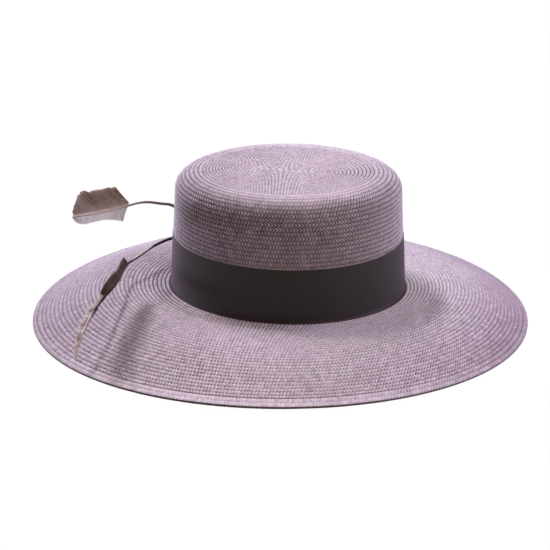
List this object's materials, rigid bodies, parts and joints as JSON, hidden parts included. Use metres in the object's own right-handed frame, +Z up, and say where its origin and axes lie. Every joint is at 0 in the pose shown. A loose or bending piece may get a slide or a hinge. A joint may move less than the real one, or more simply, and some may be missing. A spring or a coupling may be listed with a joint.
{
  "type": "boater hat",
  "caption": "Woven straw boater with a wide drooping brim, a flat oval crown, a ribbed ribbon band and two stripped feathers held at the band.",
  "frame": {"origin": "centre of the brim's outline, on the surface that the hat rests on", "axes": "+X along the brim's long diameter, away from the feathers; +Y across it, away from the side that the picture was taken from; +Z up out of the crown's top"},
  "size_m": [0.4326, 0.3702, 0.1512],
  "materials": {
    "straw": "matt woven straw, pale lilac grey",
    "ribbon": "ribbed cloth ribbon, near black",
    "upper_vane": "soft brown feather barbs with a frosted edge",
    "lower_vane": "dark brown feather barbs that turn pale along a twist"
  },
  "bodies": {
    "root": {"straw_body": "straw", "ribbon_band": "ribbon", "ribbon_keeper": "ribbon", "upper_feather": "upper_vane", "lower_feather": "lower_vane"}
  },
  "joints": []
}
